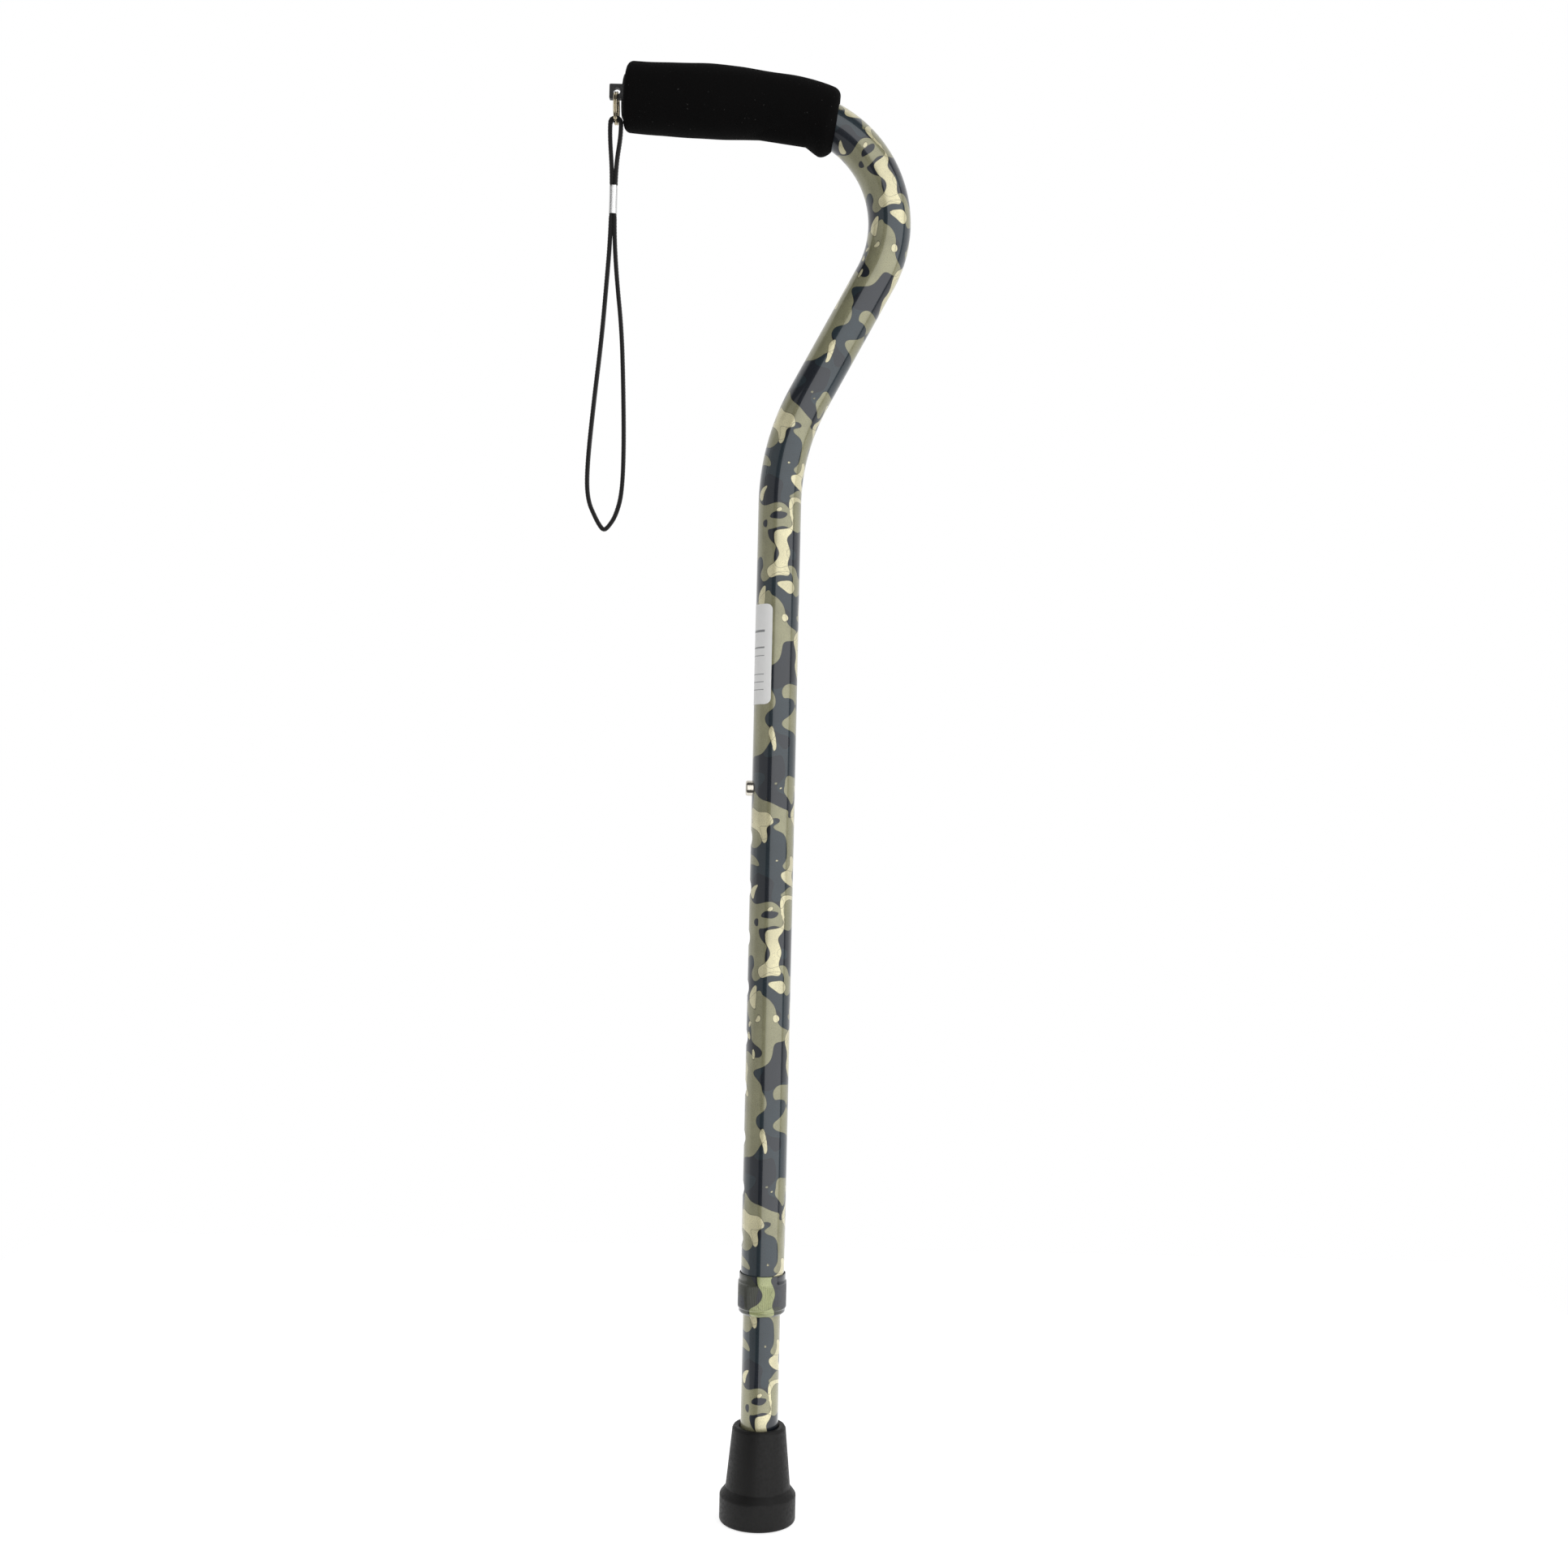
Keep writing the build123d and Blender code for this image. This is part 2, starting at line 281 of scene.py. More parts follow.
def rubber_finish():
    n = Nodes("tip_rubber")
    n.color(n.mix(n.noise(60, 4), rgb("0b0b0a"), rgb("121111")))
    n.set(Specular_IOR_Level=0.25)
    n.roughness(n.ramp(n.noise(700, 3), 0.3, 0.7, 0.42, 0.58))
    n.bump(n.noise(1500, 3), 0.00005, 0.4)
    return n.material


def plastic_finish(name, low, high, roughness):
    n = Nodes(name)
    n.color(n.mix(n.noise(120, 3), rgb(low), rgb(high)))
    n.roughness(n.ramp(n.noise(900, 2), 0.3, 0.7, roughness - 0.05, roughness + 0.08))
    n.bump(n.noise(1800, 2), 0.00003, 0.3)
    return n.material


def metal_finish(name, low, high, roughness, brushed=0.0):
    n = Nodes(name)
    n.color(n.mix(n.noise(160, 3), rgb(low), rgb(high)))
    n.set(Metallic=1.0)
    n.roughness(n.ramp(n.noise(500, 3), 0.3, 0.7, roughness * 0.8, roughness * 1.3))
    if brushed:
        n.bump(n.noise(2400, 2), 0.00004, brushed)
    return n.material


def braid_finish():
    n = Nodes("braid")
    fibre = n.noise(5200, 2)
    n.color(n.mix(fibre, rgb("0c0c0d"), rgb("1d1c1c")))
    n.set(Sheen_Weight=0.15, Sheen_Roughness=0.4, Specular_IOR_Level=0.3)
    n.roughness(n.ramp(fibre, 0.3, 0.7, 0.65, 0.85))
    n.bump(fibre, 0.0001, 0.5)
    return n.material


def label_finish():
    n = Nodes("label_paper")
    ink = n.ramp(n.attribute("ink"), 0.3, 0.7)
    paper = n.mix(n.noise(300, 3), rgb("ededeb"), rgb("f4f4f3"))
    n.color(n.mix(ink, paper, rgb("8d8f90")))
    n.set(Coat_Weight=0.3, Coat_Roughness=0.15)
    n.roughness(n.ramp(n.noise(800, 2), 0.3, 0.7, 0.4, 0.5))
    n.bump(n.noise(2000, 2), 0.00002, 0.3)
    return n.material


film = film_finish("printed_film")
collar_film = film_finish("collar_film", rgb("2c3022"), rgb("a4aa78"), rgb("20242c"), rgb("262d36"))
foam = foam_finish()
rubber = rubber_finish()
black_plastic = plastic_finish("black_plastic", "121213", "1b1a1a", 0.4)
nylon = plastic_finish("nylon", "c9c6bb", "d8d5cb", 0.45)
ring_metal = metal_finish("ring_nickel", "bfb294", "dacfb4", 0.16)
button_metal = metal_finish("button_nickel", "c9c3b6", "e2ddd2", 0.12)
sleeve_metal = metal_finish("bright_sleeve", "d9d9d9", "ededed", 0.24, 0.15)
spring_steel = metal_finish("spring_steel", "5b5f66", "777b80", 0.3, 0.3)
washer_steel = metal_finish("zinc_steel", "9a9ca0", "b4b5b7", 0.35, 0.3)
tube_metal = metal_finish("bare_aluminium", "a9abad", "c3c4c6", 0.32, 0.3)
braid = braid_finish()
label_paper = label_finish()

# ------------------------------------------------------------------ wrist strap

RING_BOTTOM = 712.85
STRAP_THICKNESS = 1.7
STRAP_FULL = 2.15        # the braid's thickness outside the sleeve, where nothing presses it
STRAP_WIDTH = 5.0
CRIMP_BOTTOM, CRIMP_TOP = 664.9, 679.7
CRIMP_WIDE, CRIMP_DEEP = 4.1, 5.9
CRIMP_X = -89.7
STRAND_OFFSET = 0.87
SLEEVE_LEFT = CRIMP_X - STRAND_OFFSET
SLEEVE_RIGHT = CRIMP_X + STRAND_OFFSET
STRAP_LIFT = 1.6
LOOP_TOP = RING_BOTTOM + STRAP_LIFT + STRAP_THICKNESS / 2
STRAP_STEP = 0.35
STRAP_POINTS = 32
PRESSED_LENGTH = 16.8
# The braid turns a little about itself near the foot of the wrist loop
TWIST_ANGLE, TWIST_AT, TWIST_SPREAD = 15.0, 186.0, 16.0
RIB_PITCH = 1.7
RIB_HEIGHT = 0.07
RIB_SLANT = 0.9
EDGE_WAVE = 0.03
STRAP_ROUTE = (
    (SLEEVE_LEFT, 672.0),
    (SLEEVE_LEFT - 0.05, 654.0),
    (-92.2, 627.0),
    (-93.9, 600.0),
    (-97.0, 568.0),
    (-99.7, 534.0),
    (-99.2, 517.0),
    (-94.6, 507.0),
    (-91.9, 502.6),
    (-90.1, 501.0),
    (-87.8, 503.0),
    (-84.3, 508.6),
    (-81.4, 520.0),
    (-80.9, 542.0),
    (-82.0, 575.0),
    (-83.6, 605.0),
    (-86.9, 632.0),
    (SLEEVE_RIGHT + 0.04, 656.0),
    (SLEEVE_RIGHT, 680.0),
    (-88.4, 693.0),
    (-86.9, 704.0),
    (-86.6, 710.0),
    (-86.6, LOOP_TOP),
    (-92.1, LOOP_TOP),
    (-92.3, 709.5),
    (-91.9, 701.5),
    (-90.9, 690.0),
    (SLEEVE_LEFT, 680.5),
    (SLEEVE_LEFT + 0.05, 672.1),
)


def route_line(route):
    """Points read from the smooth line that a route of (x, z) points controls, in metres."""
    curve = bpy.data.curves.new("strap_route", "CURVE")
    curve.dimensions = "3D"
    spline = curve.splines.new("NURBS")
    spline.points.add(len(route) - 1)
    for point, (x, z) in zip(spline.points, route):
        point.co = (x * MM, 0.0, z * MM, 1.0)
    spline.order_u = 3
    spline.use_endpoint_u = True
    spline.resolution_u = 30
    holder = bpy.data.objects.new("strap_route", curve)
    mesh = bpy.data.meshes.new_from_object(holder)
    line = np.array([v.co for v in mesh.vertices])
    bpy.data.objects.remove(holder)
    bpy.data.curves.remove(curve)
    bpy.data.meshes.remove(mesh)
    return line


def evenly(line, step):
    """Points at even steps along a line, and how far along it each one is."""
    along = np.concatenate([[0], np.cumsum(np.linalg.norm(np.diff(line, axis=0), axis=1))])
    at = np.linspace(0, along[-1], int(along[-1] / step) + 1)
    return np.stack([np.interp(at, along, line[:, k]) for k in range(3)], axis=1), at


def squared(value, power):
    """A cosine or sine raised to a power with its sign kept, which squares a round section."""
    return np.sign(value) * np.abs(value) ** power


def make_strap():
    """A flat tubular braid: a soft rounded section with plaited ribs that cross its faces."""
    line, at = evenly(route_line(STRAP_ROUTE), STRAP_STEP * MM)
    tangent = np.gradient(line, axis=0)
    tangent /= np.linalg.norm(tangent, axis=1)[:, None]
    side = np.array([0.0, 1.0, 0.0])
    normal = np.cross(tangent, side)
    around = np.linspace(0, 2 * math.pi, STRAP_POINTS + 1)[:-1]
    cosine, sine = np.cos(around), np.sin(around)
    across = squared(cosine, 0.8) * STRAP_WIDTH / 2
    at_mm = at / MM
    in_sleeve = np.abs(line[:, 2] / MM - (CRIMP_BOTTOM + CRIMP_TOP) / 2) < PRESSED_LENGTH / 2
    twist = np.radians(TWIST_ANGLE) * np.exp(-(((at_mm - TWIST_AT) / TWIST_SPREAD) ** 2))
    rows = []
    for i, center in enumerate(line):
        full = STRAP_THICKNESS if in_sleeve[i] else STRAP_FULL
        plait = np.cos(2 * math.pi * (at_mm[i] - np.abs(across) * RIB_SLANT) / RIB_PITCH)
        edge = 1 + EDGE_WAVE * np.cos(2 * math.pi * at_mm[i] / RIB_PITCH) * np.abs(cosine) ** 4
        deep = squared(sine, 0.7) * full / 2 + squared(sine, 0.3) * RIB_HEIGHT * plait
        c, s = math.cos(twist[i]), math.sin(twist[i])
        wide = across * edge * c - deep * s
        thick = across * edge * s + deep * c
        rows.append(center[None] + wide[:, None] * MM * side + thick[:, None] * MM * normal[i])
    points = np.concatenate(rows) / MM
    faces = grid_faces(len(line), len(around))
    first = list(range(len(around)))
    last = [len(points) - len(around) + k for k in first]
    strap = make_mesh("strap_braid", points, faces + [first[::-1], last], braid, 60)
    return strap, line, at[-1]


strap, strap_line, strap_length = make_strap()

# ------------------------------------------------------------------ strap sleeve

SLEEVE_WALL = 0.28
SLEEVE_WAIST = 0.05
SLEEVE_ROLL, SLEEVE_ROLL_LENGTH = 0.12, 0.3
SLEEVE_CORNER = 0.45


def make_crimp():
    """A sheet sleeve pressed flat on the strands, a little waisted, with rolled ends."""
    rows = []
    around = np.linspace(0, 2 * math.pi, 49)[:-1]
    heights = np.linspace(0, 1, 25)
    for shell in (1.0, 0.0):
        for t in heights if shell else heights[::-1]:
            waist = 1 - SLEEVE_WAIST * math.sin(math.pi * t) ** 0.6
            end = min(t, 1 - t) * (CRIMP_TOP - CRIMP_BOTTOM)
            roll = SLEEVE_ROLL * max(0.0, 1 - end / SLEEVE_ROLL_LENGTH) ** 2
            wall = SLEEVE_WALL * (1 - shell)
            wide = (CRIMP_WIDE / 2 - wall) * waist - roll * shell
            deep = CRIMP_DEEP / 2 - wall - roll * shell
            x = CRIMP_X + squared(np.cos(around), SLEEVE_CORNER) * wide
            y = squared(np.sin(around), SLEEVE_CORNER) * deep
            z = np.full(len(around), CRIMP_BOTTOM + t * (CRIMP_TOP - CRIMP_BOTTOM))
            rows.append(np.stack([x, y, z], axis=1))
    rows.append(rows[0])
    points = np.concatenate(rows)
    return make_mesh("pressed_sleeve", points, grid_faces(len(rows), len(around)), sleeve_metal, 40)


crimp = stand_for(make_crimp(), "strap_crimp", "strap")
stand_for(strap, "wrist_strap", "strap")

# ------------------------------------------------------------------ camouflage print

PRINT_REPEAT = 203.0
PRINT_CELL = 0.5         # the grid's step
PRINT_FADE = 6.0         # the longest distance that the grid holds
PRINT_SEED = 11
PATCH_BEND = 4.2         # how far the finer waves move a patch's edge
BEND_LENGTHS = (15.0, 34.0)
WAVE_COUNT = 26
FLATTEST = 0.05          # the least slope of the waves, so that a level place stays finite
TUBE_RADIUS = 11.0
INNER_RADIUS = 9.525
TUBE_GIRTH = 2 * math.pi * TUBE_RADIUS


class Print:
    """One repeat of a made-up camouflage, as distances inside each colour on a fine grid.
    A colour is a sum of random waves that close round the tube and along the repeat. Finer
    waves bend it, which gives its patches lobes, and it is cut at the level that gives the
    colour its share of the film."""

    def __init__(self, seed):
        self.random = np.random.default_rng(seed)
        self.rows, self.columns = int(PRINT_REPEAT / PRINT_CELL), int(TUBE_GIRTH / PRINT_CELL)
        self.down, self.across = np.meshgrid(
            np.arange(self.rows) * PRINT_REPEAT / self.rows,
            np.arange(self.columns) * TUBE_GIRTH / self.columns,
            indexing="ij",
        )

    def waves(self, across, down, lengths):
        """A sum of random waves whose lengths are between two limits in millimetres."""
        shortest, longest = lengths
        most_round, most_down = int(TUBE_GIRTH / shortest), int(PRINT_REPEAT / shortest)
        total = np.zeros(across.shape)
        made = 0
        while made < WAVE_COUNT:
            rate_across = self.random.integers(-most_round, most_round + 1) / TUBE_GIRTH
            rate_down = self.random.integers(-most_down, most_down + 1) / PRINT_REPEAT
            phase = self.random.uniform(0, 2 * math.pi)
            if 1 / longest < math.hypot(rate_across, rate_down) < 1 / shortest:
                total += np.cos(2 * math.pi * (across * rate_across + down * rate_down) + phase)
                made += 1
        return total / math.sqrt(WAVE_COUNT / 2)

    def patches(self, share, lengths):
        """How far each point is inside a colour that covers a share of the film."""
        bend_across = PATCH_BEND * self.waves(self.across, self.down, BEND_LENGTHS)
        bend_down = PATCH_BEND * self.waves(self.across, self.down, BEND_LENGTHS)
        field = self.waves(self.across + bend_across, self.down + bend_down, lengths)
        rise_down = np.roll(field, -1, 0) - np.roll(field, 1, 0)
        rise_across = np.roll(field, -1, 1) - np.roll(field, 1, 1)
        slope_down = rise_down * self.rows / PRINT_REPEAT / 2
        slope_across = rise_across * self.columns / TUBE_GIRTH / 2
        steepness = np.maximum(np.hypot(slope_down, slope_across), FLATTEST)
        level = np.quantile(field, 1 - share)
        return np.clip((field - level) / steepness, -PRINT_FADE, PRINT_FADE)

    def sample(self, field, around, down):
        """The field where a point lies round the tube and down it, both in millimetres."""
        i = (down % PRINT_REPEAT) / PRINT_REPEAT * self.rows
        j = (around % TUBE_GIRTH) / TUBE_GIRTH * self.columns
        i0, j0 = np.floor(i).astype(int), np.floor(j).astype(int)
        fi, fj = i - i0, j - j0
        i0, j0 = i0 % self.rows, j0 % self.columns
        i1, j1 = (i0 + 1) % self.rows, (j0 + 1) % self.columns
        top = field[i0, j0] * (1 - fj) + field[i0, j1] * fj
        low = field[i1, j0] * (1 - fj) + field[i1, j1] * fj
        return top * (1 - fi) + low * fi


# Each colour's share of the film, and the lengths of its shortest and longest waves. Slate is
# a share of the whole film too, but it only shows inside navy.
PRINT_COLORS = {
    "navy": (0.5, (24.0, 60.0)),
    "khaki": (0.17, (20.0, 42.0)),
    "slate": (0.5, (30.0, 80.0)),
}
camo = Print(PRINT_SEED)
camo_layers = {name: camo.patches(*shape) for name, shape in PRINT_COLORS.items()}


def paint(piece, around, down):
    """Gives the piece the print's distances at each of its points."""
    for name, field in camo_layers.items():
        attribute = piece.data.attributes.new(name, "FLOAT", "POINT")
        attribute.data.foreach_set("value", camo.sample(field, around, down).astype(np.float32))


# ------------------------------------------------------------------ tubes

TUBE_BOTTOM = 118.0
TUBE_BORE = 9.87
LOWER_BEND_HEIGHT = 545.9
LOWER_BEND_TURN = 27.7
LOWER_BEND_RADIUS = 119.5
HANDLE_BEND_RADIUS = 59.2
HANDLE_RISE = 3.8
NOSE_X, NOSE_Z = -84.4, 726.8
HOLE_COUNT = 10
HOLE_PITCH = 25.4
HOLE_RADIUS = 4.15
BUTTON_HEIGHT = 370.0
RING_STEP = 0.8
RING_POINTS = 88


class Centreline:
    """The tube's centreline in the plane y = 0, as straight runs joined by arcs."""

    def __init__(self):
        slope = 1 / math.tan(math.radians(LOWER_BEND_TURN))
        fall = math.tan(math.radians(HANDLE_RISE))
        corner_x = (NOSE_Z + NOSE_X * fall - LOWER_BEND_HEIGHT) / (slope + fall)
        corner_z = LOWER_BEND_HEIGHT + slope * corner_x
        handle_turn = math.radians(180 - HANDLE_RISE - (90 - LOWER_BEND_TURN))
        lower_turn = math.radians(LOWER_BEND_TURN)
        lower_cut = LOWER_BEND_RADIUS * math.tan(lower_turn / 2)
        handle_cut = HANDLE_BEND_RADIUS * math.tan(handle_turn / 2)
        slant = math.hypot(corner_x, corner_z - LOWER_BEND_HEIGHT)
        handle = math.hypot(corner_x - NOSE_X, corner_z - NOSE_Z)
        self.pieces = (
            (LOWER_BEND_HEIGHT - lower_cut - TUBE_BOTTOM, 0.0),
            (LOWER_BEND_RADIUS * lower_turn, 1 / LOWER_BEND_RADIUS),
            (slant - lower_cut - handle_cut, 0.0),
            (HANDLE_BEND_RADIUS * handle_turn, -1 / HANDLE_BEND_RADIUS),
            (handle - handle_cut, 0.0),
        )
        self.length = sum(length for length, _ in self.pieces)

    def at(self, distance):
        """The place (x, z) and the heading from +Z towards +X, a distance up from the mouth."""
        x, z, heading = 0.0, TUBE_BOTTOM, 0.0
        for length, bend in self.pieces:
            run = min(distance, length)
            if bend:
                end = heading + run * bend
                x += (math.cos(heading) - math.cos(end)) / bend
                z += (math.sin(end) - math.sin(heading)) / bend
                heading = end
            else:
                x += run * math.sin(heading)
                z += run * math.cos(heading)
            distance -= run
            if distance <= 0:
                break
        return x, z, heading


def drill(points, faces, holes, radius):
    """Opens round holes in the -X wall of a grid that has an outer and an inner skin.
    Faces with a point inside a hole are dropped, and the points beside it move onto its edge."""
    size = len(points) // 2
    gone = np.zeros(size, bool)
    wall = []
    for height in holes:
        offset = np.stack([points[:size, 1], points[:size, 2] - height], axis=1)
        away = np.linalg.norm(offset, axis=1)
        gone |= (points[:size, 0] < 0) & (away < radius)
    kept = [f for f in faces if not (gone[np.array(f) % size]).any()]
    outer = [f for f in kept if max(f) < size]
    edges = dict.fromkeys(edge for face in outer for edge in zip(face, face[1:] + face[:1]))
    rim = [(a, b) for a, b in edges if (b, a) not in edges]
    for height in holes:
        near = [
            (a, b)
            for a, b in rim
            if points[a, 0] < 0 and abs(points[a, 2] - height) < 2 * radius
        ]
        for a, b in near:
            wall.append((b, a, a + size, b + size))
        for k in {k for edge in near for k in edge}:
            y, z = points[k, 1], points[k, 2] - height
            scale = radius / math.hypot(y, z)
            for skin in (k, k + size):
                reach = math.hypot(points[skin, 0], points[skin, 1])
                points[skin, 1] = y * scale
                points[skin, 2] = height + z * scale
                points[skin, 0] = -math.sqrt(reach**2 - (y * scale) ** 2)
    return points, kept, wall


def make_tube(name, place_at, length, outer, inner, holes, hole_radius):
    """A tube of two skins on one grid, swept along a line, with holes in its -X wall, and the
    place of each of its points round the tube and up it."""
    rows = int(length / RING_STEP) + 1
    distances = np.linspace(0, length, rows)
    angles = (np.arange(RING_POINTS) / RING_POINTS - 0.5) * 2 * math.pi
    skins, around, up = [], [], []
    for radius in (outer, inner):
        for distance in distances:
            x, z, heading = place_at(distance)
            across = radius * np.sin(angles)
            ring = (
                x + across * math.cos(heading),
                -radius * np.cos(angles),
                z - across * math.sin(heading),
            )
            skins.append(np.stack(ring, axis=1))
            around.append(TUBE_RADIUS * angles)
            up.append(np.full(RING_POINTS, distance))
    points = np.concatenate(skins)
    size = rows * RING_POINTS
    skin = grid_faces(rows, RING_POINTS)
    faces = skin + [tuple(k + size for k in face[::-1]) for face in skin]
    points, faces, wall = drill(points, faces, holes, hole_radius)
    for j in range(RING_POINTS):
        k = (j + 1) % RING_POINTS
        faces.append((k, j, size + j, size + k))
        last = size - RING_POINTS
        faces.append((last + j, last + k, size + last + k, size + last + j))
    piece = make_mesh(name, points, faces + wall, film, 40)
    piece.data.materials.append(tube_metal)
    inside = [int(max(p.vertices) >= size) for p in piece.data.polygons]
    piece.data.polygons.foreach_set("material_index", inside)
    return piece, np.concatenate(around), np.concatenate(up)


centreline = Centreline()
hole_heights = [BUTTON_HEIGHT - k * HOLE_PITCH for k in range(HOLE_COUNT)]
outer_tube, around, up = make_tube(
    "camo_tube", centreline.at, centreline.length, TUBE_RADIUS, TUBE_BORE, hole_heights, HOLE_RADIUS
)
paint(outer_tube, around, -up)
stand_for(outer_tube, "outer_tube", "upper_section")

INNER_BOTTOM, INNER_TOP = 17.0, 398.0
INNER_BORE = 8.325
INNER_HOLE_RADIUS = 4.0
INNER_PRINT_SHIFT = 60.0

inner_tube, around, up = make_tube(
    "camo_inner_tube",
    lambda distance: (0.0, INNER_BOTTOM + distance, 0.0),
    INNER_TOP - INNER_BOTTOM,
    INNER_RADIUS,
    INNER_BORE,
    [BUTTON_HEIGHT],
    INNER_HOLE_RADIUS,
)
paint(inner_tube, around, INNER_PRINT_SHIFT - up)
stand_for(inner_tube, "inner_tube", "lower_section")

# ------------------------------------------------------------------ foam grip

FOAM_END, FOAM_END_SLANT = 111.0, 5.0
FOAM_RADIUS = 17.5
# Where the sleeve swells or narrows: how much, how far from the nose and over what length
FOAM_SWELL = (2.4, 47.0, 26.0)
FOAM_WAIST = (-3.0, 88.0, 32.0)
FOAM_LOBE = (1.5, 107.0, 9.0)
FOAM_NOSE_EDGE = 3.4
FOAM_END_EDGE, FOAM_EDGE_SLANT = 5.5, 1.5
FOAM_GAP = 0.02
# Faint ripples: height, radians for each millimetre, and how much they turn with the angle
FOAM_RIPPLES = ((0.06, 0.11, 0), (0.05, 0.31, 1))


def hump(shape, distance):
    """A smooth rise, or a dip if its height is negative, centred on its place."""
    height, place, spread = shape
    return height * math.exp(-(((distance - place) / spread) ** 2))


def foam_radius(distance, angle):
    """The foam's radius at a distance from the nose. The angle is 0 on the camera's side and a
    quarter turn on the top, which is the outside of the bend."""
    top = FOAM_RADIUS + hump(FOAM_SWELL, distance)
    under = FOAM_RADIUS + hump(FOAM_WAIST, distance) + hump(FOAM_LOBE, distance)
    uneven = sum(h * math.sin(distance * rate + turn * angle) for h, rate, turn in FOAM_RIPPLES)
    return (top + under) / 2 + (top - under) / 2 * math.sin(angle) + uneven


def foam_point(distance, radius, angle):
    """A point of the sleeve, a distance from the nose and a radius off the centreline."""
    x, z, heading = centreline.at(centreline.length - distance)
    across = radius * math.sin(angle)
    return (
        x + across * math.cos(heading),
        -radius * math.cos(angle),
        z - across * math.sin(heading),
    )


def make_foam():
    columns, rows = 120, 170
    angles = [(j / columns) * 2 * math.pi for j in range(columns)]
    ends = [FOAM_END - FOAM_END_SLANT * math.sin(a) for a in angles]
    points = []
    for i in range(rows + 1):
        t = 0.5 - 0.5 * math.cos(math.pi * i / rows)
        for angle, end in zip(angles, ends):
            distance = t * end
            full = foam_radius(distance, angle)
            to_nose, to_end = distance, end - distance
            end_edge = FOAM_END_EDGE - FOAM_EDGE_SLANT * math.sin(angle)
            for left, edge in ((to_nose, FOAM_NOSE_EDGE), (to_end, end_edge)):
                if left < edge:
                    full -= edge - math.sqrt(edge**2 - (edge - left) ** 2)
            points.append(foam_point(distance, full, angle))
    bore = TUBE_RADIUS + FOAM_GAP
    rims = [foam_point(0.0, bore, angle) for angle in angles]
    rims += [foam_point(end, bore, angle) for angle, end in zip(angles, ends)]
    faces = [face[::-1] for face in grid_faces(rows + 1, columns)]
    base = len(points)
    last = rows * columns
    for j in range(columns):
        k = (j + 1) % columns
        faces.append((j, k, base + k, base + j))
        faces.append((last + k, last + j, base + columns + j, base + columns + k))
        faces.append((base + j, base + k, base + columns + k, base + columns + j))
    return make_mesh("foam_sleeve", points + rims, faces, foam, 60)


grip = stand_for(make_foam(), "foam_grip", "upper_section")

# ------------------------------------------------------------------ rubber tip

TIP_RADIUS = 19.25


def make_tip():
    socket = INNER_RADIUS + 0.02
    corners = (
        (1.2, 0.0), (4.0, 0.0), (4.0, 1.4), (6.0, 1.4), (6.0, 0.0), (8.5, 0.0), (8.5, 1.4),
        (10.5, 1.4), (10.5, 0.0), (13.0, 0.0), (13.0, 1.4), (15.0, 1.4), (15.0, 0.0),
        (TIP_RADIUS, 0.0), (TIP_RADIUS + 0.05, 13.4), (17.2, 16.0), (16.35, 17.0),
        (13.55, 46.2), (12.7, 47.6), (10.4, 47.4), (socket, 46.2), (socket, 20.0),
    )
    radii = (
        0, 0.3, 0.3, 0.3, 0.3, 0.3, 0.3, 0.3, 0.3, 0.3, 0.3, 0.3, 0.3,
        1.5, 2.0, 1.2, 0.8, 1.1, 0.7, 0.5, 0.3, 0,
    )
    profile = [(0.0, 0.0)] + [tuple(p) for p in rounded(corners, radii, 5)]
    return lathe("rubber_ferrule", profile, rubber, 128, 50)


stand_for(make_tip(), "rubber_tip", "lower_section")

# ------------------------------------------------------------------ locking collar

COLLAR_BOTTOM, COLLAR_TOP = 104.0, 124.4
COLLAR_RADIUS = 12.35
LIP_RADIUS = 11.8
MOUTH_RADIUS = 11.35
RIB_COUNT = 108
RIB_DEPTH = 0.16
RIBS_FROM, RIBS_TO = 107.4, 120.2
RIB_RUN_OUT = 0.8
COLLAR_STEP = 0.6
POINTS_PER_RIB = 6


